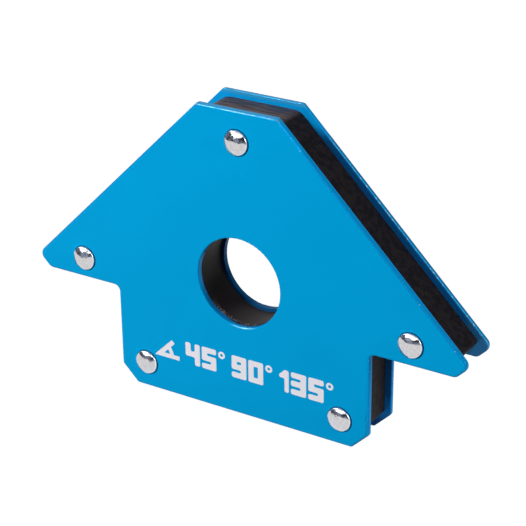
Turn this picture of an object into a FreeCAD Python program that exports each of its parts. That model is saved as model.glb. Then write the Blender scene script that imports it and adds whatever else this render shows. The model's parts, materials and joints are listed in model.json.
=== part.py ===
"""Welding magnet holder: an arrow-shaped angle block that holds steel at 45, 90 and 135 degrees.

Two pressed steel pole plates are riveted over a moulded plastic core. The core carries six ferrite
blocks, a ring that lines the hand hole, and a steel distance sleeve on each rivet.

Frame, in millimetres: X runs along the foot to the right, Y through the thickness from the front
plate to the rear plate, Z up. The origin is on the resting edge, midway in X and Y.
"""

import FreeCAD
import Part
import Sketcher
import os
import re

# ------------------------------------------------------------------ driving dimensions
DIMENSIONS = (
    # outline of a pole plate, before its corners are rounded
    ("overall_height", 100.0, "foot to apex edge"),
    ("apex_half_width", 13.7, "half of the flat apex edge"),
    ("wing_half_width", 76.3, "centre to the sharp corner of a wing"),
    ("shoulder_height", 33.1, "foot to the underside of a wing"),
    ("leg_half_width", 44.75, "half of the width across the leg"),
    ("foot_chamfer", 5.7, "45 degree cut at each end of the foot"),
    # pressing of a pole plate
    ("plate_thickness", 2.0, "steel sheet"),
    ("wing_corner_radius", 2.5, "both corners of a wing end"),
    ("notch_radius", 1.9, "inside corner between leg and wing"),
    ("outline_corner_radius", 1.3, "apex and foot corners"),
    ("edge_roll_radius", 1.0, "rolled outer edge left by the press"),
    ("inner_edge_radius", 0.3, "paint-rounded edge on the side of the core"),
    ("hole_roll_radius", 0.4, "rolled outer edge of the centre hole"),
    ("centre_hole_radius", 14.45, "hand hole in a plate"),
    ("centre_hole_height", 45.2, "foot to the middle of the hand hole"),
    # plastic core
    ("core_thickness", 12.7, "half-inch ferrite block, and so the gap between the plates"),
    ("core_inset", 2.2, "core edge back from the plate edge"),
    ("core_wing_inset", 3.4, "core edge back from the plate edge at a wing end"),
    ("core_apex_radius", 5.0, "rounded top corners of the core"),
    ("core_wing_radius", 1.5, "rounded corners of the core at a wing end"),
    ("core_corner_radius", 0.8, "other corners of the core"),
    ("pocket_clearance", 0.15, "around a ferrite block in its pocket"),
    ("ring_clearance", 0.05, "around a ring in its hole"),
    ("liner_wall", 2.2, "wall of the centre hole's lining"),
    ("liner_bore_radius", 15.4, "bore of the lining"),
    ("ring_edge_radius", 0.25, "broken edges of a ring's bore"),
    # rivets and sleeves
    ("apex_rivet_height", 90.25, "foot to the apex rivet"),
    ("wing_rivet_x", 57.7, "centre to a wing rivet"),
    ("wing_rivet_height", 39.9, "foot to a wing rivet"),
    ("foot_rivet_x", 35.0, "centre to a foot rivet"),
    ("foot_rivet_height", 8.75, "foot to a foot rivet"),
    ("rivet_radius", 2.5, "shank"),
    ("rivet_hole_radius", 2.6, "hole in plate and sleeve"),
    ("rivet_head_radius", 3.93, "domed head"),
    ("rivet_head_height", 1.9, "crown of the head above the plate"),
    ("rivet_crown_radius", 0.25, "flat left by the tool in the middle of the crown"),
    ("rivet_rim_height", 0.45, "upright rim below the dome"),
    ("rivet_rim_radius", 0.55, "rounding between dome and rim"),
    ("sleeve_radius", 4.0, "outside of a distance sleeve"),
    # ferrite blocks: width, height, and the place of the block's middle
    ("wing_block_width", 24.0, "along X"),
    ("wing_block_height", 23.0, "along Z"),
    ("wing_block_x", 32.7, "centre to the block's middle"),
    ("wing_block_z", 49.6, "foot to the block's middle"),
    ("apex_block_width", 21.0, "along X"),
    ("apex_block_height", 17.0, "along Z"),
    ("apex_block_x", 11.9, "centre to the block's middle"),
    ("apex_block_z", 74.0, "foot to the block's middle"),
    ("foot_block_width", 25.0, "along X"),
    ("foot_block_height", 20.0, "along Z"),
    ("foot_block_x", 13.9, "centre to the block's middle"),
    ("foot_block_z", 15.0, "foot to the block's middle"),
    ("block_chamfer", 0.6, "ground corners of a block"),
)

TOUCH = 1e-4        # how near a line or plane an edge's middle has to be to count as on it
SIDES = (("left", "-"), ("right", ""))
ACROSS = "XZ_Plane"      # sketch X is the row's X, sketch Y its Z, and a pad grows towards the front
AROUND = "XY_Plane"      # a turned piece: sketch X is its radius, sketch Y its axis

doc = FreeCAD.newDocument("WeldingMagnetHolder")
sheet = doc.addObject("Spreadsheet::Sheet", "Sheet")
subparts = []


def fill_sheet():
    """One row for each driving dimension: its alias, its value and what it is."""
    for row, (alias, number, meaning) in enumerate(DIMENSIONS, start=1):
        sheet.set("A%d" % row, alias)
        sheet.set("B%d" % row, str(number))
        sheet.set("C%d" % row, meaning)
        sheet.setAlias("B%d" % row, alias)
    doc.recompute()


def linked(formula):
    """The formula with each dimension's name pointed at its cell."""
    return re.sub(r"[a-z]+(_[a-z]+)+", lambda name: "Sheet." + name.group(), formula)


def value_of(formula):
    """What a formula of dimension names comes to now."""
    return float(sheet.evalExpression(linked(formula)))


def bind(target, field, formula):
    """Drive one property of an object from the sheet."""
    target.setExpression(field, linked(formula))


# ------------------------------------------------------------------ sketches
def new_sketch(body, name, role, offset=None):
    """Empty sketch on one of the body's own planes, moved along the plane's normal by offset."""
    sketch = body.newObject("Sketcher::SketchObject", name)
    plane = next(item for item in body.Origin.OriginFeatures if item.Role == role)
    sketch.AttachmentSupport = (plane, [""])
    sketch.MapMode = "FlatFace"
    if offset:
        bind(sketch, "AttachmentOffset.Base.z", offset)
    return sketch


def place_point(sketch, geometry, vertex, place):
    """Dimension one point of the sketch from its origin, along X and along Y."""
    for kind, formula in zip(("DistanceX", "DistanceY"), place):
        constraint = Sketcher.Constraint(kind, -1, 1, geometry, vertex, value_of(formula))
        index = sketch.addConstraint(constraint)
        bind(sketch, "Constraints[%d]" % index, formula)


def vector_of(place):
    return FreeCAD.Vector(value_of(place[0]), value_of(place[1]), 0)


def arc_about_axis(start, end):
    """Arc from start to end, anticlockwise, whose centre is on the sketch's Y axis."""
    height = (start.dot(start) - end.dot(end)) / (2 * (start.y - end.y))
    centre = FreeCAD.Vector(0, height, 0)
    circle = Part.Circle(centre, FreeCAD.Vector(0, 0, 1), start.distanceToPoint(centre))
    return Part.ArcOfCircle(circle, circle.parameter(start), circle.parameter(end))


def draw_loop(sketch, places, domes=()):
    """Closed outline through places, each a pair of formulas.

    A stretch whose number is in domes is an arc about the sketch's Y axis; the others are straight.
    """
    first = sketch.GeometryCount
    points = [vector_of(place) for place in places]
    following = list(range(1, len(places))) + [0]
    for index, point in enumerate(points):
        end = points[following[index]]
        if index in domes:
            sketch.addGeometry(arc_about_axis(point, end))
        else:
            sketch.addGeometry(Part.LineSegment(point, end))
    for index, place in enumerate(places):
        joint = (first + index, 2, first + following[index], 1)
        sketch.addConstraint(Sketcher.Constraint("Coincident", *joint))
        place_point(sketch, first + index, 1, place)
    for index in domes:
        sketch.addConstraint(Sketcher.Constraint("PointOnObject", first + index, 3, -2))


def draw_circle(sketch, place, radius):
    """Circle about a place."""
    centre = vector_of(place)
    circle = sketch.addGeometry(Part.Circle(centre, FreeCAD.Vector(0, 0, 1), value_of(radius)))
    place_point(sketch, circle, 3, place)
    index = sketch.addConstraint(Sketcher.Constraint("Radius", circle, value_of(radius)))
    bind(sketch, "Constraints[%d]" % index, radius)


def draw_box(sketch, centre, width, height):
    """Rectangle of a width and height about a centre."""
    places = []
    for x_sign, y_sign in (("-", "-"), ("+", "-"), ("+", "+"), ("-", "+")):
        x = "%s %s (%s) / 2" % (centre[0], x_sign, width)
        y = "%s %s (%s) / 2" % (centre[1], y_sign, height)
        places.append((x, y))
    draw_loop(sketch, places)


# ------------------------------------------------------------------ features
def new_body(label):
    """Body for one sub-part; its label names the exported file."""
    body = doc.addObject("PartDesign::Body", label)
    body.Label = label
    subparts.append(body)
    return body


def add_pad(body, sketch, length, symmetric=False):
    pad = body.newObject("PartDesign::Pad", "Pad")
    pad.Profile = sketch
    bind(pad, "Length", length)
    if symmetric:
        pad.SideType = "Symmetric"
    doc.recompute()


def add_pocket(body, sketch, symmetric=False):
    """Cut the sketch's outlines right through, and make sure that the cut removes material."""
    before = body.Shape.Volume
    pocket = body.newObject("PartDesign::Pocket", "Pocket")
    pocket.Profile = sketch
    pocket.Type = "ThroughAll"
    if symmetric:
        pocket.SideType = "Symmetric"
    doc.recompute()
    if body.Shape.Volume >= before - 1.0:
        raise RuntimeError(body.Label + ": the pocket cuts nothing")


def add_edge_feature(body, kind, size_field, size, wanted):
    """Fillet or chamfer on every edge of the body's last feature that wanted() accepts."""
    base = body.Tip
    names = ["Edge%d" % number for number, edge in enumerate(base.Shape.Edges, start=1) if wanted(edge)]
    if not names:
        raise RuntimeError(body.Label + ": no edge to work on for " + size)
    feature = body.newObject("PartDesign::" + kind, kind)
    feature.Base = (base, names)
    bind(feature, size_field, size)
    doc.recompute()


def through_places(places):
    """Accepts an edge that runs through the thickness at one of the places, on either side."""
    spots = [vector_of(place) for place in places]

    def wanted(edge):
        middle = edge.CenterOfMass
        level = all(abs(vertex.X - middle.x) + abs(vertex.Z - middle.z) < TOUCH for vertex in edge.Vertexes)
        return level and any(
            abs(abs(middle.x) - spot.x) + abs(middle.z - spot.y) < TOUCH for spot in spots
        )

    return wanted


def along_thickness(edge):
    """Accepts an edge that runs through the thickness."""
    box = edge.BoundBox
    return box.XLength + box.ZLength < TOUCH


def on_front(depth):
    """Accepts an edge that lies on the plane that far in front of the middle."""
    front = -value_of(depth)
    return lambda edge: abs(edge.BoundBox.YMin - front) + abs(edge.BoundBox.YMax - front) < TOUCH


def round_edge(radius, depth):
    """Accepts a full circle of that radius on the plane that far in front of the middle."""
    on_plane = on_front(depth)
    size = value_of(radius)
    return lambda edge: (
        not edge.Degenerated and edge.Closed and isinstance(edge.Curve, Part.Circle)
        and abs(edge.Curve.Radius - size) < TOUCH and on_plane(edge)
    )


def both_sides(right_half):
    """The right half of an outline, given from foot to top, followed by its mirror image."""
    left_half = [("-(%s)" % x, z) for x, z in reversed(right_half)]
    return right_half + left_half


# ------------------------------------------------------------------ what the pieces share
HALF_CORE = "core_thickness / 2"
FRONT_FACE = "core_thickness / 2 + plate_thickness"
CENTRE_HOLE = ("0", "centre_hole_height")
WING_HEIGHT = "(overall_height + apex_half_width - wing_half_width)"

# corners of a plate's right half: the foot, the leg, the wing with its 45 degree end, the apex
FOOT_END = ("leg_half_width - foot_chamfer", "0")
LEG_LOW = ("leg_half_width", "foot_chamfer")
NOTCH = ("leg_half_width", "shoulder_height")
WING_LOW = ("wing_half_width - %s + shoulder_height" % WING_HEIGHT, "shoulder_height")
WING_HIGH = ("wing_half_width", WING_HEIGHT)
APEX_END = ("apex_half_width", "overall_height")

RIVETS = [("apex", "0", "apex_rivet_height")]
for side, sign in SIDES:
    RIVETS.append(("wing_" + side, sign + "wing_rivet_x", "wing_rivet_height"))
    RIVETS.append(("foot_" + side, sign + "foot_rivet_x", "foot_rivet_height"))

BLOCKS = ("wing", "apex", "foot")


def block_place(block, sign):
    return sign + block + "_block_x", block + "_block_z"


# ------------------------------------------------------------------ pole plates
def build_plate(label, turn):
    """Pressed steel plate with its rolled edge outwards; turn is its angle about Z."""
    body = new_body(label)
    outline = new_sketch(body, "Outline", ACROSS, HALF_CORE)
    draw_loop(outline, both_sides([FOOT_END, LEG_LOW, NOTCH, WING_LOW, WING_HIGH, APEX_END]))
    add_pad(body, outline, "plate_thickness")
    for radius, places in (
        ("wing_corner_radius", (WING_LOW, WING_HIGH)),
        ("notch_radius", (NOTCH,)),
        ("outline_corner_radius", (FOOT_END, LEG_LOW, APEX_END)),
    ):
        add_edge_feature(body, "Fillet", "Radius", radius, through_places(places))
    add_edge_feature(body, "Fillet", "Radius", "edge_roll_radius", on_front(FRONT_FACE))
    add_edge_feature(body, "Fillet", "Radius", "inner_edge_radius", on_front(HALF_CORE))

    holes = new_sketch(body, "Holes", ACROSS, FRONT_FACE)
    draw_circle(holes, CENTRE_HOLE, "centre_hole_radius")
    for _, x, z in RIVETS:
        draw_circle(holes, (x, z), "rivet_hole_radius")
    add_pocket(body, holes)

    add_edge_feature(body, "Fillet", "Radius", "hole_roll_radius", round_edge("centre_hole_radius", FRONT_FACE))
    body.Placement = FreeCAD.Placement(
        FreeCAD.Vector(0, 0, 0), FreeCAD.Rotation(FreeCAD.Vector(0, 0, 1), turn)
    )


# ------------------------------------------------------------------ plastic core
def core_corners():
    """Corners of the core's right half: the plate's outline moved inwards, less at the wing end."""
    low = "core_inset"
    slant_sum = "(overall_height + apex_half_width - core_inset * sqrt(2))"
    end_difference = "(wing_half_width - %s - core_wing_inset * sqrt(2))" % WING_HEIGHT
    chamfer_sum = "(leg_half_width - foot_chamfer - core_inset * sqrt(2))"
    leg = "(leg_half_width - core_inset)"
    shoulder = "(shoulder_height + core_inset)"
    top = "(overall_height - core_inset)"
    return {
        "foot_end": ("%s + %s" % (chamfer_sum, low), low),
        "leg_low": (leg, "%s - %s" % (leg, chamfer_sum)),
        "notch": (leg, shoulder),
        "wing_low": ("%s + %s" % (end_difference, shoulder), shoulder),
        "wing_high": ("(%s + %s) / 2" % (slant_sum, end_difference),
                      "(%s - %s) / 2" % (slant_sum, end_difference)),
        "apex_end": ("%s - %s" % (slant_sum, top), top),
    }


def build_core():
    """Moulded spacer with a pocket for each block, and holes for the sleeves and the lining."""
    body = new_body("core_frame")
    corners = core_corners()
    outline = new_sketch(body, "Outline", ACROSS)
    draw_loop(outline, both_sides(list(corners.values())))
    add_pad(body, outline, "core_thickness", symmetric=True)
    for radius, names in (
        ("core_apex_radius", ("apex_end",)),
        ("core_wing_radius", ("wing_low", "wing_high")),
        ("core_corner_radius", ("foot_end", "leg_low", "notch")),
    ):
        wanted = through_places([corners[name] for name in names])
        add_edge_feature(body, "Fillet", "Radius", radius, wanted)

    pockets = new_sketch(body, "Pockets", ACROSS)
    draw_circle(pockets, CENTRE_HOLE, "liner_bore_radius + liner_wall + ring_clearance")
    for _, x, z in RIVETS:
        draw_circle(pockets, (x, z), "sleeve_radius + ring_clearance")
    for block in BLOCKS:
        width = block + "_block_width + 2 * pocket_clearance"
        height = block + "_block_height + 2 * pocket_clearance"
        for _, sign in SIDES:
            draw_box(pockets, block_place(block, sign), width, height)
    add_pocket(body, pockets, symmetric=True)


# ------------------------------------------------------------------ magnets
def build_block(label, block, sign):
    """Ferrite block with ground corners, as thick as the core."""
    body = new_body(label)
    outline = new_sketch(body, "Outline", ACROSS)
    draw_box(outline, ("0", "0"), block + "_block_width", block + "_block_height")
    add_pad(body, outline, "core_thickness", symmetric=True)
    add_edge_feature(body, "Chamfer", "Size", "block_chamfer", along_thickness)
    x, z = block_place(block, sign)
    bind(body, "Placement.Base.x", x)
    bind(body, "Placement.Base.z", z)


# ------------------------------------------------------------------ lining and sleeves
def build_ring(label, outer_radius, bore_radius, place):
    """Ring as long as the core is thick, with the edges of its bore broken."""
    body = new_body(label)
    section = new_sketch(body, "Section", ACROSS)
    draw_circle(section, ("0", "0"), outer_radius)
    draw_circle(section, ("0", "0"), bore_radius)
    add_pad(body, section, "core_thickness", symmetric=True)
    front = round_edge(bore_radius, HALF_CORE)
    rear = round_edge(bore_radius, "-" + HALF_CORE)
    add_edge_feature(
        body, "Fillet", "Radius", "ring_edge_radius", lambda edge: front(edge) or rear(edge)
    )
    bind(body, "Placement.Base.x", place[0])
    bind(body, "Placement.Base.z", place[1])


# ------------------------------------------------------------------ rivets
def build_rivet(label, place):
    """Rivet with a low dome at each end, turned about its own axis along Y."""
    body = new_body(label)
    face = "(%s)" % FRONT_FACE
    crown = "(%s + rivet_head_height)" % FRONT_FACE
    rim = "(%s + rivet_rim_height)" % FRONT_FACE
    profile = [
        ("0", "-" + crown),
        ("rivet_crown_radius", "-" + crown),
        ("rivet_head_radius", "-" + rim),
        ("rivet_head_radius", "-" + face),
        ("rivet_radius", "-" + face),
        ("rivet_radius", face),
        ("rivet_head_radius", face),
        ("rivet_head_radius", rim),
        ("rivet_crown_radius", crown),
        ("0", crown),
    ]
    half = new_sketch(body, "HalfSection", AROUND)
    draw_loop(half, profile, domes=(1, 7))
    turned = body.newObject("PartDesign::Revolution", "Turned")
    turned.Profile = half
    turned.ReferenceAxis = (half, ["V_Axis"])
    turned.Angle = 360
    doc.recompute()
    front = round_edge("rivet_head_radius", rim)
    rear = round_edge("rivet_head_radius", "-" + rim)
    add_edge_feature(
        body, "Fillet", "Radius", "rivet_rim_radius", lambda edge: front(edge) or rear(edge)
    )
    bind(body, "Placement.Base.x", place[0])
    bind(body, "Placement.Base.z", place[1])


# ------------------------------------------------------------------ the assembly
def build_all():
    fill_sheet()
    build_plate("front_plate", 0)
    build_plate("rear_plate", 180)
    build_core()
    build_ring("bore_liner", "liner_bore_radius + liner_wall", "liner_bore_radius", CENTRE_HOLE)
    for block in BLOCKS:
        for side, sign in SIDES:
            build_block("magnet_%s_%s" % (block, side), block, sign)
    for name, x, z in RIVETS:
        build_rivet("rivet_" + name, (x, z))
        build_ring("sleeve_" + name, "sleeve_radius", "rivet_hole_radius", (x, z))
    doc.recompute()


def check_all():
    """Stop if any object failed to compute, or if a sub-part isn't one sound solid."""
    for item in doc.Objects:
        faults = [state for state in item.State if state in ("Invalid", "Error")]
        if faults:
            raise RuntimeError("%s is %s" % (item.Label, faults))
    for piece in subparts:
        shape = piece.Shape
        if shape.isNull() or not shape.isValid() or len(shape.Solids) != 1:
            raise RuntimeError(piece.Label + " isn't one valid solid")


def export_all():
    os.makedirs("parts", exist_ok=True)
    for piece in subparts:
        piece.Shape.exportStep("parts/" + piece.Label + ".step")
        box = piece.Shape.BoundBox
        print("%-18s %9.1f mm3   X %.2f..%.2f   Y %.2f..%.2f   Z %.2f..%.2f" % (
            piece.Label, piece.Shape.Volume, box.XMin, box.XMax, box.YMin, box.YMax, box.ZMin, box.ZMax
        ))


build_all()
check_all()
export_all()
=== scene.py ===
"""Looks for the welding magnet holder: materials, printed angle marks, studio light and camera.

Everything is in metres, in the frame of the CAD model: X along the foot, Y through the thickness
from the front plate to the rear plate, Z up, with the foot at Z = 0.
"""

import json
import math

import bmesh
import bpy
from mathutils import Matrix, Vector

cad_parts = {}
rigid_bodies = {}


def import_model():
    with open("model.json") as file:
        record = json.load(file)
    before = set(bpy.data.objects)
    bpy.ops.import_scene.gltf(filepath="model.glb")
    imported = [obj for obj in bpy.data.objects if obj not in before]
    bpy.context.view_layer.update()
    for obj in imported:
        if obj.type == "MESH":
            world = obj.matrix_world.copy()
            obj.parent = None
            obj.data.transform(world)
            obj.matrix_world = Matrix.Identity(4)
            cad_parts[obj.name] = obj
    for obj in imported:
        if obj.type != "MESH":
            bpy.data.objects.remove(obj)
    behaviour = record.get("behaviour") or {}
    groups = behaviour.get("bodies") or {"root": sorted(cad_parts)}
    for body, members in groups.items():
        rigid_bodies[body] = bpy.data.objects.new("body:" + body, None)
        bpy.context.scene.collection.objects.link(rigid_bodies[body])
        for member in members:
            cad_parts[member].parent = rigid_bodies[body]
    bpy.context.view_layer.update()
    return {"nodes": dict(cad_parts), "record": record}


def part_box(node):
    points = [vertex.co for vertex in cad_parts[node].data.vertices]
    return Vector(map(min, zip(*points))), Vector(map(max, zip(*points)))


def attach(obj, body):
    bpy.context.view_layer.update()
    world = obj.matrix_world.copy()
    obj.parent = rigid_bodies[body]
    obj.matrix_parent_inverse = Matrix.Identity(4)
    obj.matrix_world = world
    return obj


MM = 0.001

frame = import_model()
nodes = frame["nodes"]
scene = bpy.context.scene

front_low, front_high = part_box("front_plate")
liner_low, liner_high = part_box("bore_liner")
OUTER_FACE = -front_low.y      # depth of a plate's faces, from the middle of the holder
INNER_FACE = -front_high.y
TOP = front_high.z
HOLE_CENTRE = (liner_low + liner_high) / 2
RIVET_CENTRES = [sum(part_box(name), Vector()) / 2 for name in sorted(nodes) if name.startswith("rivet_")]


# ------------------------------------------------------------------ material helpers
def add_node(tree, kind, settings=None, **sockets):
    """Shader node with its settings and inputs set; an input that is a socket is linked."""
    node = tree.nodes.new("ShaderNode" + kind)
    for name, value in (settings or {}).items():
        setattr(node, name, value)
    for name, value in sockets.items():
        socket = node.inputs[int(name[1:])] if name[0] == "_" else node.inputs[name.replace("_", " ")]
        if isinstance(value, bpy.types.NodeSocket):
            tree.links.new(value, socket)
        else:
            socket.default_value = value
    return node


class Look:
    """One material: a Principled shader with the row frame's position at hand."""

    def __init__(self, name, **shader_values):
        self.material = bpy.data.materials.new(name)
        self.material.use_nodes = True
        self.tree = self.material.node_tree
        self.shader = self.tree.nodes["Principled BSDF"]
        for key, value in shader_values.items():
            self.shader.inputs[key.replace("_", " ")].default_value = value
        self.place = add_node(self.tree, "TexCoord").outputs["Object"]
        axes = add_node(self.tree, "SeparateXYZ", Vector=self.place)
        self.x, self.y, self.z = axes.outputs

    def node(self, kind, settings=None, **sockets):
        return add_node(self.tree, kind, settings, **sockets)

    def math(self, operation, first, second=0.0, third=0.0):
        made = self.node("Math", {"operation": operation}, _0=first, _1=second, _2=third)
        return made.outputs[0]

    def magnitude(self, value):
        return self.math("ABSOLUTE", value)

    def times(self, first, *others):
        """Product of masks."""
        for other in others:
            first = self.math("MULTIPLY", first, other)
        return first

    def sum_of(self, value, factor, other):
        """value times factor, plus other."""
        return self.math("MULTIPLY_ADD", value, factor, other)

    def noise(self, size, detail=2.0, roughness=0.5, stretch=(1, 1, 1)):
        """Noise whose features are about size metres across, stretched along the axes."""
        scaled = self.node("Mapping", Vector=self.place, Scale=[1 / part for part in stretch])
        made = self.node(
            "TexNoise", Vector=scaled.outputs[0], Scale=1 / size, Detail=detail, Roughness=roughness
        )
        return made.outputs["Fac"]

    def spots(self, spacing, radius, share):
        """1 inside scattered round spots, one in a share of the cells of that spacing.

        The second output is a random number for each spot.
        """
        cells = self.node("TexVoronoi", Vector=self.place, Scale=1 / spacing)
        near = self.math("LESS_THAN", cells.outputs["Distance"], radius / spacing)
        pick = self.node("SeparateColor", Color=cells.outputs["Color"])
        chosen = self.math("LESS_THAN", pick.outputs[0], share)
        return self.times(near, chosen), pick.outputs[1]

    def above(self, value, low, high, most=1.0):
        """Smooth rise of value from 0 at low to most at high."""
        return self.between(value, low, high, 0.0, most)

    def below(self, value, low, high, most=1.0):
        """Smooth fall of value from most at low to 0 at high."""
        return self.between(value, low, high, most, 0.0)

    def between(self, value, low, high, to_low, to_high):
        """Smooth change of value from low to high, given out as to_low to to_high."""
        made = self.node(
            "MapRange", {"interpolation_type": "SMOOTHSTEP"}, Value=value,
            From_Min=low, From_Max=high, To_Min=to_low, To_Max=to_high,
        )
        return made.outputs[0]

    def distance(self, x, z):
        """Distance from a line through the plates at that x and z."""
        flat = self.node("CombineXYZ", X=self.x, Z=self.z).outputs[0]
        made = self.node("VectorMath", {"operation": "DISTANCE"}, _0=flat, _1=(x, 0, z))
        return made.outputs["Value"]

    def mix(self, factor, first, second):
        """From first at 0 to second at 1; each is a socket, or three linear numbers."""
        first, second = (
            part if isinstance(part, bpy.types.NodeSocket) else (*part, 1.0) for part in (first, second)
        )
        made = self.node("Mix", {"data_type": "RGBA"}, _0=factor, _6=first, _7=second)
        return made.outputs[2]

    def bump(self, height, distance, strength=1.0, under=None):
        made = self.node("Bump", Height=height, Distance=distance, Strength=strength)
        if under is not None:
            self.tree.links.new(under, made.inputs["Normal"])
        return made.outputs[0]

    def put(self, **links):
        for key, value in links.items():
            self.tree.links.new(value, self.shader.inputs[key.replace("_", " ")])
        return self.material


# ------------------------------------------------------------------ paint
FACE_BLUES = ((0.0002, 0.372, 0.750), (0.0002, 0.360, 0.730))
EDGE_BLUE = (0.003, 0.330, 0.765)
TOP_HIGHLIGHT_BLUE = (0.040, 0.320, 0.620)
GROOVE_SHADE_BLUE = (0.010, 0.250, 0.740)
WING_TIP_SHEEN_BLUE = (0.05, 0.31, 0.70)
FOOT_SHADE_BLUE = (0.008, 0.09, 0.33)
REAR_SLANT_SHADE_BLUE = (0.001, 0.140, 0.330)
FRONT_SLANT_SHADE_BLUE = (0.002, 0.25, 0.57)
SLANT_HIGHLIGHT_BLUES = ((0.04, 0.47, 0.83), (0.45, 0.80, 0.95))
CREST_HIGHLIGHT_BLUE = (0.20, 0.50, 0.75)
GLINT_BLUE = (0.30, 0.62, 0.88)
NIB_BLUES = ((0.002, 0.06, 0.14), (0.04, 0.48, 0.85))
SCUFF_BLUE = (0.012, 0.15, 0.28)
RIVET_SHADOW_BLUE = (0.001, 0.045, 0.120)
LOW_WALL_SHADE_BLUE = (0.003, 0.150, 0.430)
RIM_HIGHLIGHT_BLUE = (0.30, 0.68, 0.90)
SHADED_BLUE = (0.006, 0.095, 0.26)
FLASH_BLACK = (0.010, 0.012, 0.016)
SCUFF_X = 43.9 * MM            # upright scuff beside the edge of the right leg
SCUFF_Z = 9.2 * MM
CREST_DROP = 0.45 * MM         # painted highlight line on the front plate's top roll, below the top
SLANT_X = 22 * MM              # where the slanted edges start, beside the flat top
SLANT_Z = 37.5 * MM            # where they end, above the wing tips' undersides
HOLE_RIM = 14.82 * MM          # radius where the roll of the centre hole meets the face


def edge_tones(look, base, depth, rolled):
    """The paint's tone on the plate edges and inside the groove between the plates, with painted shade and
    painted highlights there.
    """
    sideways = look.magnitude(look.x)
    base = look.mix(rolled, base, EDGE_BLUE)
    on_top = look.times(look.above(look.z, TOP - 1.3 * MM, TOP - 0.7 * MM), rolled)
    # Painted highlight: the top edges are painted whiter and less blue.
    base = look.mix(on_top, base, TOP_HIGHLIGHT_BLUE)
    inside = look.times(
        look.below(depth, INNER_FACE + 0.05 * MM, INNER_FACE + 0.55 * MM),
        look.below(look.z, TOP - 11 * MM, TOP - 5 * MM),
    )
    # Painted shade: the inner faces down in the groove between the plates are painted a darker, more violet
    # blue.
    base = look.mix(inside, base, GROOVE_SHADE_BLUE)
    # Painted reflection: the inner faces at the wing tips are painted paler and greyer.
    wing_tip_sheen = look.times(inside, look.above(sideways, 67 * MM, 69.5 * MM))
    base = look.mix(wing_tip_sheen, base, WING_TIP_SHEEN_BLUE)
    # Painted shade: the inner faces just above the floor are painted dark navy.
    foot_shade = look.times(inside, look.below(look.z, 2 * MM, 5 * MM))
    base = look.mix(foot_shade, base, FOOT_SHADE_BLUE)
    slant = look.times(
        look.above(sideways, SLANT_X - MM, SLANT_X + MM),
        look.above(look.z, SLANT_Z - 0.5 * MM, SLANT_Z + 0.5 * MM),
        rolled,
    )
    # Painted shade: the rear plate's slanted edges are painted darker.
    rear_slant_shade = look.times(slant, look.above(look.y, INNER_FACE + 0.15 * MM, OUTER_FACE - 0.55 * MM))
    base = look.mix(rear_slant_shade, base, REAR_SLANT_SHADE_BLUE)
    # Painted shade: the front plate's slanted roll is painted darker.
    front_slant_shade = look.times(slant, look.below(look.y, 0.85 * MM - OUTER_FACE, 1.15 * MM - OUTER_FACE, 0.8))
    base = look.mix(front_slant_shade, base, FRONT_SLANT_SHADE_BLUE)
    # Painted highlight: a pale, broken line along the inner edge of the slanted edges.
    slant_highlight_mask = look.times(
        look.above(look.y, INNER_FACE + 0.03 * MM, INNER_FACE + 0.09 * MM),
        slant,
        look.below(look.y, INNER_FACE + 0.20 * MM, INNER_FACE + 0.40 * MM),
    )
    slant_highlight_colour = look.mix(look.above(look.noise(0.0011, 3.0), 0.52, 0.64), *SLANT_HIGHLIGHT_BLUES)
    return look.mix(slant_highlight_mask, base, slant_highlight_colour)


def edge_wear(look, base, depth, rolled):
    """Painted highlights: broken pale lines along the top edges, and small painted glints on every edge."""
    broken = look.between(look.noise(0.0022, 3.0), 0.40, 0.56, 0.1, 1.0)
    off_crest = look.magnitude(look.math("SUBTRACT", look.z, TOP - CREST_DROP))
    front_crest = look.times(
        look.below(off_crest, 0.08 * MM, 0.20 * MM), look.below(look.y, -8.0 * MM, -7.8 * MM)
    )
    rear_crest = look.times(
        look.above(look.z, TOP - 0.2 * MM, TOP - 0.1 * MM), look.above(look.y, 7.3 * MM, 7.6 * MM)
    )
    # Painted highlight: pale broken lines along the crests of the top edges.
    crest_highlight = look.times(look.math("MAXIMUM", front_crest, rear_crest), broken, rolled)
    base = look.mix(crest_highlight, base, CREST_HIGHLIGHT_BLUE)
    glints, _ = look.spots(0.0013, 0.00016, 0.45)
    inner_edge = look.times(
        look.above(depth, INNER_FACE + 0.02 * MM, INNER_FACE + 0.07 * MM),
        look.below(depth, INNER_FACE + 0.20 * MM, INNER_FACE + 0.40 * MM),
    )
    outer_edge = look.above(depth, OUTER_FACE - 0.45 * MM, OUTER_FACE - 0.35 * MM)
    on_edge = look.times(look.math("MAXIMUM", outer_edge, inner_edge), rolled)
    return look.mix(look.times(glints, on_edge), base, GLINT_BLUE)


def face_marks(look, base, on_face):
    """Dust nibs, a scuff on the right leg, and a painted shadow round each rivet's head."""
    nibs, kind = look.spots(0.0075, 0.00018, 0.30)
    nib_blue = look.mix(look.math("GREATER_THAN", kind, 0.35), *NIB_BLUES)
    base = look.mix(nibs, base, nib_blue)
    wavy_x = look.sum_of(look.noise(0.0025, 3.0), 1.1 * MM, look.x)
    off_scuff = look.magnitude(look.math("SUBTRACT", wavy_x, SCUFF_X + 0.55 * MM))
    off_middle = look.magnitude(look.math("SUBTRACT", look.z, SCUFF_Z))
    scuff = look.times(
        look.below(off_scuff, 0.05 * MM, 0.22 * MM),
        on_face,
        look.between(look.noise(0.0012, 2.0), 0.42, 0.52, 0.15, 0.8),
        look.below(off_middle, 3.4 * MM, 4.2 * MM),
    )
    base = look.mix(scuff, base, SCUFF_BLUE)
    for centre in RIVET_CENTRES:
        # Painted shadow: a dark ring round each rivet head, set a little to the right.
        from_rivet = look.distance(centre.x + 0.12 * MM, centre.z + 0.02 * MM)
        rivet_shadow = look.times(look.below(from_rivet, 4.15 * MM, 4.35 * MM), on_face)
        base = look.mix(rivet_shadow, base, RIVET_SHADOW_BLUE)
    return base


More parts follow.
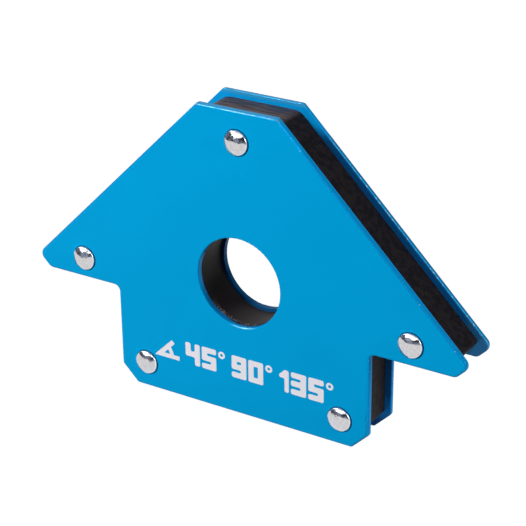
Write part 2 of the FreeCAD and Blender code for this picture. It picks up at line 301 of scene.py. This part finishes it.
def hole_marks(look, base, rolled):
    """The wall of the centre hole: painted shade on its lower front part and its rear part, a painted
    highlight along the rim, and moulding flash pressed out on it.
    """
    from_hole = look.distance(HOLE_CENTRE.x, HOLE_CENTRE.z)
    in_hole = look.below(from_hole, HOLE_RIM + 0.48 * MM, HOLE_RIM + 0.98 * MM)
    height = look.sum_of(look.x, -0.10, look.math("SUBTRACT", look.z, HOLE_CENTRE.z))
    # Painted shade: the lower part of the front plate's hole wall is painted darker.
    low_wall_shade = look.times(
        in_hole,
        look.below(height, -9 * MM, -3 * MM, 0.6),
        look.below(look.y, -6.0 * MM, -5.5 * MM),
        rolled,
    )
    base = look.mix(low_wall_shade, base, LOW_WALL_SHADE_BLUE)
    off_rim = look.magnitude(look.math("SUBTRACT", from_hole, HOLE_RIM))
    # Painted highlight: a pale line on the lower part of the hole's rim.
    rim_highlight = look.times(
        look.below(off_rim, 0.10 * MM, 0.25 * MM),
        look.below(look.y, -8.1 * MM, -7.9 * MM),
        look.below(height, -15.3 * MM, -14.0 * MM, 0.9),
    )
    base = look.mix(rim_highlight, base, RIM_HIGHLIGHT_BLUE)
    ragged_y = look.sum_of(look.noise(0.0016, 3.0), 1.6 * MM, look.y)
    low_right = look.sum_of(look.x, -0.6, look.z)
    flash = look.times(
        in_hole,
        look.above(ragged_y, -6.65 * MM, -6.35 * MM),
        look.below(look.y, -6.3 * MM, -6.0 * MM),
        look.below(low_right, 31 * MM, 36 * MM),
    )
    base = look.mix(flash, base, FLASH_BLACK)
    # Painted shade on the rear plate's hole wall.
    rear_wall = look.times(in_hole, look.above(look.y, 6.0 * MM, 6.3 * MM))
    return look.mix(rear_wall, base, SHADED_BLUE)


def paint_look():
    """Blue stoved paint: orange peel round the edges, dust nibs and a scuff on the leg, with painted shade
    and painted highlights on the edges, round the hole and round the rivets.
    """
    look = Look("blue_paint", Roughness=0.14, Metallic=0.10, Specular_IOR_Level=0.03)
    cloudy = look.above(look.noise(0.030, 3.0), 0.35, 0.65)
    depth = look.magnitude(look.y)
    on_face = look.above(depth, OUTER_FACE - 0.25 * MM, OUTER_FACE - 0.02 * MM)
    rolled = look.math("SUBTRACT", 1.0, on_face)
    base = look.mix(cloudy, *FACE_BLUES)
    base = edge_tones(look, base, depth, rolled)
    base = edge_wear(look, base, depth, rolled)
    base = face_marks(look, base, on_face)
    base = hole_marks(look, base, rolled)
    shine = look.mix(on_face, (0.6, 0.8, 1.0), (0.0, 0.4, 0.7))
    peel = look.times(look.noise(0.0007, 2.0), look.between(on_face, 0, 1, 1.0, 0.15))
    return look.put(Base_Color=base, Normal=look.bump(peel, 0.00011, 0.8), Specular_Tint=shine)


# ------------------------------------------------------------------ plastic, metal, ferrite and ink
def core_look():
    """Black moulded plastic, matt, streaked along its length and nicked; dusty on its top, with painted light
    making the top paler.
    """
    look = Look("core_plastic", Specular_IOR_Level=0.12)
    down_slope = look.sum_of(look.magnitude(look.x), 0.68, look.math("MULTIPLY", look.z, -0.73))
    on_top = look.above(look.z, 96.9 * MM, 97.7 * MM)
    along = look.node("Mix", _0=on_top, _2=down_slope, _3=look.x).outputs[0]
    strip = look.node("CombineXYZ", X=look.math("DIVIDE", along, 9.0), Y=look.y).outputs[0]
    streaks = look.node("TexNoise", Vector=strip, Scale=1 / 0.0013, Detail=4.0).outputs["Fac"]
    mottle = look.noise(0.0020, 4.0, 0.6)
    nicks, _ = look.spots(0.0016, 0.00022, 0.25)
    base = look.mix(look.above(mottle, 0.42, 0.60), (0.0060, 0.0050, 0.0066), (0.0150, 0.0116, 0.0128))
    # Dust streaks on the top, painted paler than the sides as painted light from the lamps above.
    dust = look.mix(look.above(streaks, 0.4, 0.62), (0.030, 0.0205, 0.0275), (0.110, 0.075, 0.072))
    base = look.mix(on_top, base, dust)
    base = look.mix(nicks, base, (0.040, 0.033, 0.031))
    normal = look.bump(look.noise(0.0005, 2.0), 0.00010, 0.8)
    normal = look.bump(streaks, 0.00010, 0.5, normal)
    return look.put(Base_Color=base, Roughness=look.between(on_top, 0, 1, 0.65, 0.45), Normal=normal)


def liner_look():
    """Black ring with a low moulded gloss, specks of flash along its lower front edge, and painted light on
    its lower part.
    """
    look = Look("liner_plastic", Roughness=0.45, Specular_IOR_Level=0.08)
    mottle = look.above(look.noise(0.004, 3.0), 0.35, 0.7)
    base = look.mix(mottle, (0.0055, 0.0050, 0.0065), (0.0135, 0.0108, 0.0112))
    # Painted light: the lower part of the ring, where the lamp shines in through the hole, is painted paler
    # and browner.
    painted_light_low = look.below(look.z, HOLE_CENTRE.z - 14 * MM, HOLE_CENTRE.z + 2 * MM)
    base = look.mix(painted_light_low, base, (0.033, 0.0265, 0.0275))
    ragged_y = look.sum_of(look.noise(0.0015, 3.0), 2.4 * MM, look.y)
    flash = look.times(
        look.below(ragged_y, liner_low.y + 3.3 * MM, liner_low.y + 3.6 * MM),
        look.below(look.z, HOLE_CENTRE.z - 12.5 * MM, HOLE_CENTRE.z - 9.5 * MM),
        look.above(look.noise(0.00045, 3.0), 0.51, 0.57),
    )
    base = look.mix(flash, base, (0.42, 0.34, 0.30))
    return look.put(Base_Color=base, Normal=look.bump(look.noise(0.0007, 2.0), 0.00004, 0.6))


def nickel_look():
    """Bright plated rivet with faint tumbling marks, duller round the rim, where a painted highlight makes it
    paler.
    """
    look = Look("rivet_nickel", Metallic=1.0)
    tone = look.above(look.noise(0.0009, 3.0), 0.3, 0.7)
    depth = look.magnitude(look.y)
    base = look.mix(tone, (0.64, 0.62, 0.63), (0.56, 0.545, 0.555))
    # Painted highlight: a paler ring round the rim of each head.
    base = look.mix(look.below(depth, 8.85 * MM, 9.05 * MM), base, (0.86, 0.86, 0.88))
    rough = look.between(look.noise(0.0004, 3.0), 0.3, 0.7, 0.06, 0.13)
    rough = look.math("MAXIMUM", rough, look.below(depth, 8.6 * MM, 9.0 * MM, 0.45))
    normal = look.bump(look.noise(0.0032, 1.0), 0.00032, 1.0)
    normal = look.bump(look.noise(0.0005, 2.0), 0.000016, 1.0, normal)
    return look.put(Base_Color=base, Roughness=rough, Normal=normal)


def steel_look():
    """Turned steel sleeve, with fine rings round its axis."""
    look = Look("sleeve_steel", Metallic=1.0)
    rings = look.noise(0.0002, 1.0, stretch=(40, 1, 40))
    base = look.mix(rings, (0.52, 0.52, 0.53), (0.62, 0.62, 0.63))
    rough = look.between(rings, 0.3, 0.7, 0.25, 0.4)
    return look.put(Base_Color=base, Roughness=rough, Normal=look.bump(rings, 0.00002, 0.5))


def ferrite_look():
    """Sintered ferrite: charcoal, with pores and a ground grain."""
    look = Look("ferrite", Roughness=0.55)
    grain = look.noise(0.0009, 5.0, 0.65)
    base = look.mix(grain, (0.035, 0.035, 0.039), (0.075, 0.074, 0.078))
    pores, _ = look.spots(0.0016, 0.00025, 0.35)
    base = look.mix(pores, base, (0.012, 0.012, 0.014))
    return look.put(Base_Color=base, Normal=look.bump(grain, 0.0001, 0.5))


def ink_look():
    """White printed ink, thin enough to be a little uneven."""
    look = Look("marking_ink", Roughness=0.45, Specular_IOR_Level=0.3)
    thin = look.above(look.noise(0.0006, 3.0), 0.3, 0.7)
    base = look.mix(thin, (0.90, 0.88, 0.94), (0.86, 0.85, 0.92))
    return look.put(Base_Color=base, Normal=look.bump(look.noise(0.0004, 2.0), 0.00002, 0.4))


LOOK_OF_SLOT = {
    "plate_paint": paint_look(),
    "core_plastic": core_look(),
    "liner_plastic": liner_look(),
    "rivet_plating": nickel_look(),
    "sleeve_steel": steel_look(),
    "ferrite": ferrite_look(),
}
for subpart in frame["record"]["subparts"]:
    for slot in nodes[subpart["node"]].material_slots:
        slot.material = LOOK_OF_SLOT[subpart["material_slot"]]


# ------------------------------------------------------------------ printed marks
MARK_FOOT = 12.6 * MM          # bottom of the row of marks, above the foot
MARK_MIDDLE = 0.6 * MM         # middle of the row, right of centre
DIGIT_HEIGHT = 7.6 * MM
DIGIT_WIDTH = 5.3 * MM
STROKE = 1.9 * MM
DIGIT_ROUND = 0.6 * MM
COUNTER_ROUND = 0.25 * MM
DIGIT_GAP = 0.75 * MM
MARK_GAP = 2.4 * MM
RING_OUTER = 1.25 * MM
RING_INNER = 0.5 * MM
SIGN_ANGLE = math.radians(45)
SIGN_ARM = 9.4 * MM
SIGN_STROKE = 1.5 * MM
SIGN_ARC_OUTER = 7.4 * MM
SIGN_ARC_INNER = 6.0 * MM
SIGN_ROUND = 0.2 * MM
SIGN_COUNTER_ROUND = 0.1 * MM
INK_DEPTH = 0.03 * MM
NEARLY_STRAIGHT = math.radians(80)      # half a corner's angle, from which it is left sharp
CORNER_STEPS = 4
RING_STEPS = 32

# Digits are drawn through the crossings of these columns and rows, counted from the lower left.
COLUMNS = (0, STROKE, DIGIT_WIDTH - STROKE, DIGIT_WIDTH)
WAIST = DIGIT_HEIGHT / 2
ROWS = (0, STROKE, WAIST - STROKE / 2, WAIST + STROKE / 2, DIGIT_HEIGHT - STROKE, DIGIT_HEIGHT)
DIGITS = {
    "0": ("00 30 35 05", "11 14 24 21"),
    "1": ("10 20 25 15 04 03 13",),
    "3": ("00 30 35 05 04 24 23 03 02 22 21 01",),
    "4": ("20 30 35 25 23 13 15 05 02 22",),
    "5": ("00 30 33 13 14 34 35 05 02 22 21 01",),
    "9": ("00 30 35 05 02 22 21 01", "13 14 24 23"),
}


def rounded(outline, radius):
    """The outline with an arc in place of each corner that isn't nearly straight."""
    points = []
    for index, corner in enumerate(outline):
        before = (outline[index - 1] - corner).normalized()
        after = (outline[(index + 1) % len(outline)] - corner).normalized()
        half = before.angle(after) / 2
        if half > NEARLY_STRAIGHT:
            points.append(corner)
            continue
        setback = radius / math.tan(half)
        centre = corner + (before + after).normalized() * (radius / math.sin(half))
        start = (corner + before * setback - centre).normalized()
        end = (corner + after * setback - centre).normalized()
        for step in range(CORNER_STEPS + 1):
            points.append(centre + start.slerp(end, step / CORNER_STEPS) * radius)
    return points


def arc(centre, radius, start, end, steps):
    turns = [start + (end - start) * step / steps for step in range(steps + 1)]
    return [centre + Vector((math.cos(turn), math.sin(turn))) * radius for turn in turns]


def circle(centre, radius):
    return arc(centre, radius, 0, math.tau, RING_STEPS)[:-1]


def digit_outlines(digit):
    outlines = []
    for cells in DIGITS[digit]:
        outline = [Vector((COLUMNS[int(cell[0])], ROWS[int(cell[1])])) for cell in cells.split()]
        outlines.append(rounded(outline, COUNTER_ROUND if outlines else DIGIT_ROUND))
    return outlines


def sign_outlines():
    """Angle sign: two arms that meet in a corner, bridged by an arc."""
    corner = Vector((0, 0))
    low, high = Vector((1, 0)), Vector((math.cos(SIGN_ANGLE), math.sin(SIGN_ANGLE)))
    low_side, high_side = Vector((0, SIGN_STROKE)), Vector((high.y, -high.x)) * SIGN_STROKE
    outer_turn = math.asin(SIGN_STROKE / SIGN_ARC_OUTER)
    inner_turn = math.asin(SIGN_STROKE / SIGN_ARC_INNER)
    outer_arc = arc(corner, SIGN_ARC_OUTER, outer_turn, SIGN_ANGLE - outer_turn, 6)
    inner_arc = arc(corner, SIGN_ARC_INNER, inner_turn, SIGN_ANGLE - inner_turn, 6)
    outside = [corner, low * SIGN_ARM, low * SIGN_ARM + low_side]
    outside += outer_arc + [high * SIGN_ARM + high_side, high * SIGN_ARM]
    inside = [(low + high) * (SIGN_STROKE / math.sin(SIGN_ANGLE))] + inner_arc
    return [rounded(outside, SIGN_ROUND), rounded(inside, SIGN_COUNTER_ROUND)]


def print_ink(name, outlines, left):
    """Thin solid of ink on the front plate; a contour inside another one is a hole."""
    curve = bpy.data.curves.new(name, "CURVE")
    curve.dimensions = "2D"
    curve.fill_mode = "BOTH"
    curve.extrude = INK_DEPTH / 2
    for outline in outlines:
        spline = curve.splines.new("POLY")
        spline.points.add(len(outline) - 1)
        for point, place in zip(spline.points, outline):
            point.co = (place.x, place.y, 0, 1)
        spline.use_cyclic_u = True
    flat = bpy.data.objects.new(name, curve)
    scene.collection.objects.link(flat)
    mesh = bpy.data.meshes.new_from_object(flat.evaluated_get(bpy.context.evaluated_depsgraph_get()))
    bpy.data.objects.remove(flat)
    upright = Matrix.Rotation(math.radians(90), 4, "X")
    mesh.transform(Matrix.Translation((left, -OUTER_FACE - INK_DEPTH / 4, MARK_FOOT)) @ upright)
    mesh.materials.clear()
    mesh.materials.append(INK)
    shell = bmesh.new()
    shell.from_mesh(mesh)
    bmesh.ops.remove_doubles(shell, verts=shell.verts, dist=MM / 1000)
    bmesh.ops.recalc_face_normals(shell, faces=shell.faces)
    shell.to_mesh(mesh)
    piece = bpy.data.objects.new(name, mesh)
    scene.collection.objects.link(piece)
    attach(piece, "root")


def print_marks():
    """Row of an angle sign and the angles the holder can hold."""
    row = [("mark_sign", sign_outlines(), 0.0)]
    cursor = SIGN_ARM + MARK_GAP
    for degrees in (45, 90, 135):
        for place, digit in enumerate(str(degrees)):
            shape = digit_outlines(digit)
            row.append(("mark_%d_digit_%d" % (degrees, place + 1), shape, cursor))
            cursor += max(point.x for point in shape[0]) + DIGIT_GAP
        ring = Vector((RING_OUTER, DIGIT_HEIGHT - RING_OUTER))
        row.append(("mark_%d_degree" % degrees, [circle(ring, RING_OUTER), circle(ring, RING_INNER)], cursor))
        cursor += 2 * RING_OUTER + MARK_GAP
    start = MARK_MIDDLE - (cursor - MARK_GAP) / 2
    for name, outlines, left in row:
        print_ink(name, outlines, start + left)


INK = ink_look()
print_marks()


# ------------------------------------------------------------------ studio
CENTRE = Vector((0, 0, 50 * MM))       # what the lights are pointed at
FLOOR_HALF = 0.6
FLOOR_GLOW = 0.97
STAND_WAY = (0.52, -0.77, 0.34)        # direction of a dark stand in the reflections
CEILING = 2.2                          # strength of the pale ceiling in the reflections


def object_only():
    """Collection of every piece of the object, for a light that leaves the floor alone."""
    pieces = bpy.data.collections.new("object_only")
    for item in scene.objects:
        if item.type == "MESH":
            pieces.objects.link(item)
    return pieces


def make_floor():
    """Plain pale floor, bright enough in itself to need no light."""
    mesh = bpy.data.meshes.new("floor")
    corners = [(-1, -1, 0), (1, -1, 0), (1, 1, 0), (-1, 1, 0)]
    mesh.from_pydata([Vector(corner) * FLOOR_HALF for corner in corners], [], [(0, 1, 2, 3)])
    floor = bpy.data.objects.new("floor", mesh)
    scene.collection.objects.link(floor)
    look = Look("pale_floor", Roughness=0.9, Specular_IOR_Level=0.1)
    tone = look.mix(look.noise(0.6, 2.0), (0.40, 0.40, 0.40), (0.42, 0.42, 0.42))
    look.shader.inputs["Emission Color"].default_value = (1, 1, 1, 1)
    look.shader.inputs["Emission Strength"].default_value = FLOOR_GLOW
    mesh.materials.append(look.put(Base_Color=tone))
    floor.visible_diffuse = False


def make_world():
    """Studio round the object: a dim room with a pale ceiling in front, a pale backdrop behind.

    The pattern is for reflections. Diffuse light is plainer, and the camera sees plain pale air.
    """
    world = bpy.data.worlds.new("studio")
    world.use_nodes = True
    scene.world = world
    tree = world.node_tree

    def calc(operation, first, second=0.0, third=0.0):
        made = add_node(tree, "Math", {"operation": operation}, _0=first, _1=second, _2=third)
        return made.outputs[0]

    def rise(value, low, high, to_low=0.0, to_high=1.0):
        made = add_node(
            tree, "MapRange", {"interpolation_type": "SMOOTHSTEP"}, Value=value,
            From_Min=low, From_Max=high, To_Min=to_low, To_Max=to_high,
        )
        return made.outputs[0]

    def blend(share, first, second):
        return add_node(tree, "Mix", _0=share, _2=first, _3=second).outputs[0]

    way = add_node(tree, "TexCoord").outputs["Generated"]
    x, y, z = add_node(tree, "SeparateXYZ", Vector=way).outputs
    clutter = add_node(tree, "TexNoise", Vector=way, Scale=7.0, Detail=4.0).outputs[0]
    ragged = calc("MULTIPLY_ADD", clutter, 0.16, -0.08)

    backdrop = rise(calc("SUBTRACT", y, x), 0.6, 1.2, 0.06, 1.0)
    window = rise(calc("ABSOLUTE", calc("ADD", x, 0.2)), 0.25, 0.40, 1.0, 0.0)
    dark_wall = rise(clutter, 0.42, 0.60, 0.05, 0.36)
    lit_wall = rise(clutter, 0.42, 0.58, 0.16, 0.60)
    room = blend(window, dark_wall, lit_wall)
    height = calc("ADD", z, ragged)
    ceiling = calc("MULTIPLY", rise(height, 0.40, 0.44), rise(height, 0.66, 0.76, 1.0, 0.15))
    ceiling = calc("MULTIPLY", ceiling, rise(x, 0.50, 0.58, 1.0, 0.0))
    in_front = blend(ceiling, room, CEILING)
    off_stand = add_node(tree, "VectorMath", {"operation": "DISTANCE"}, _0=way, _1=STAND_WAY)
    off_stand = calc("ADD", off_stand.outputs["Value"], ragged)
    in_front = blend(rise(off_stand, 0.17, 0.22), 0.03, in_front)
    behind = rise(y, -0.05, 0.25)
    reflected = blend(behind, in_front, backdrop)

    above_floor = rise(z, -0.05, 0.05)
    diffuse = blend(above_floor, blend(behind, 0.10, 0.08), blend(behind, 0.05, 0.25))
    rays = add_node(tree, "LightPath").outputs
    brightness = blend(rays["Is Glossy Ray"], diffuse, reflected)
    brightness = blend(rays["Is Camera Ray"], brightness, 1.0)
    dim = calc("MULTIPLY", rays["Is Glossy Ray"], rise(brightness, 0.4, 0.9, 1.0, 0.0))
    tint = add_node(
        tree, "Mix", {"data_type": "RGBA"}, _0=dim, _6=(1, 1, 1, 1), _7=(0.72, 0.86, 1.15, 1)
    )
    background = tree.nodes["Background"]
    tree.links.new(brightness, background.inputs["Strength"])
    tree.links.new(tint.outputs[2], background.inputs["Color"])


def add_light(name, way, distance, size, radiance, in_reflections):
    """Square light on the object alone, that far from its middle in a direction."""
    data = bpy.data.lights.new(name, "AREA")
    data.shape = "SQUARE"
    data.size = size
    data.energy = radiance * size * size * math.pi
    light = bpy.data.objects.new(name, data)
    scene.collection.objects.link(light)
    light.location = CENTRE + Vector(way).normalized() * distance
    light.rotation_euler = (CENTRE - light.location).to_track_quat("-Z", "Y").to_euler()
    light.light_linking.receiver_collection = lit
    light.visible_glossy = in_reflections


lit = object_only()
make_floor()
make_world()
add_light("key", (-0.48, -0.75, 0.50), 0.7, 0.14, 55.0, True)
add_light("fill", (-0.45, -0.88, 0.10), 1.2, 0.4, 5.0, False)
add_light("side", (0.85, -0.02, 0.35), 1.1, 0.5, 7.2, True)
add_light("spark", (0.45, -0.50, 0.74), 1.1, 0.05, 200.0, True)
add_light("back", (-0.10, 1.0, 0.05), 1.2, 0.4, 6.0, False)


# ------------------------------------------------------------------ camera
CAMERA_PLACE = Vector((0.24349, -0.38822, 0.26619))
CAMERA_AIM = Vector((0.00362, 0.0, 0.04944))
CAMERA_ROLL = math.radians(-0.54)
LENS = 114.94                          # millimetres, as is the sensor's width
SENSOR_WIDTH = 36.0
camera_data = bpy.data.cameras.new("camera")
camera_data.lens = LENS
camera_data.sensor_width = SENSOR_WIDTH
camera_data.clip_start = 0.01
camera = bpy.data.objects.new("camera", camera_data)
scene.collection.objects.link(camera)
turn = (CAMERA_AIM - CAMERA_PLACE).to_track_quat("-Z", "Y").to_matrix().to_4x4()
camera.matrix_world = Matrix.Translation(CAMERA_PLACE) @ turn @ Matrix.Rotation(CAMERA_ROLL, 4, "Z")
scene.camera = camera
scene.view_settings.view_transform = "Standard"
scene.view_settings.look = "None"
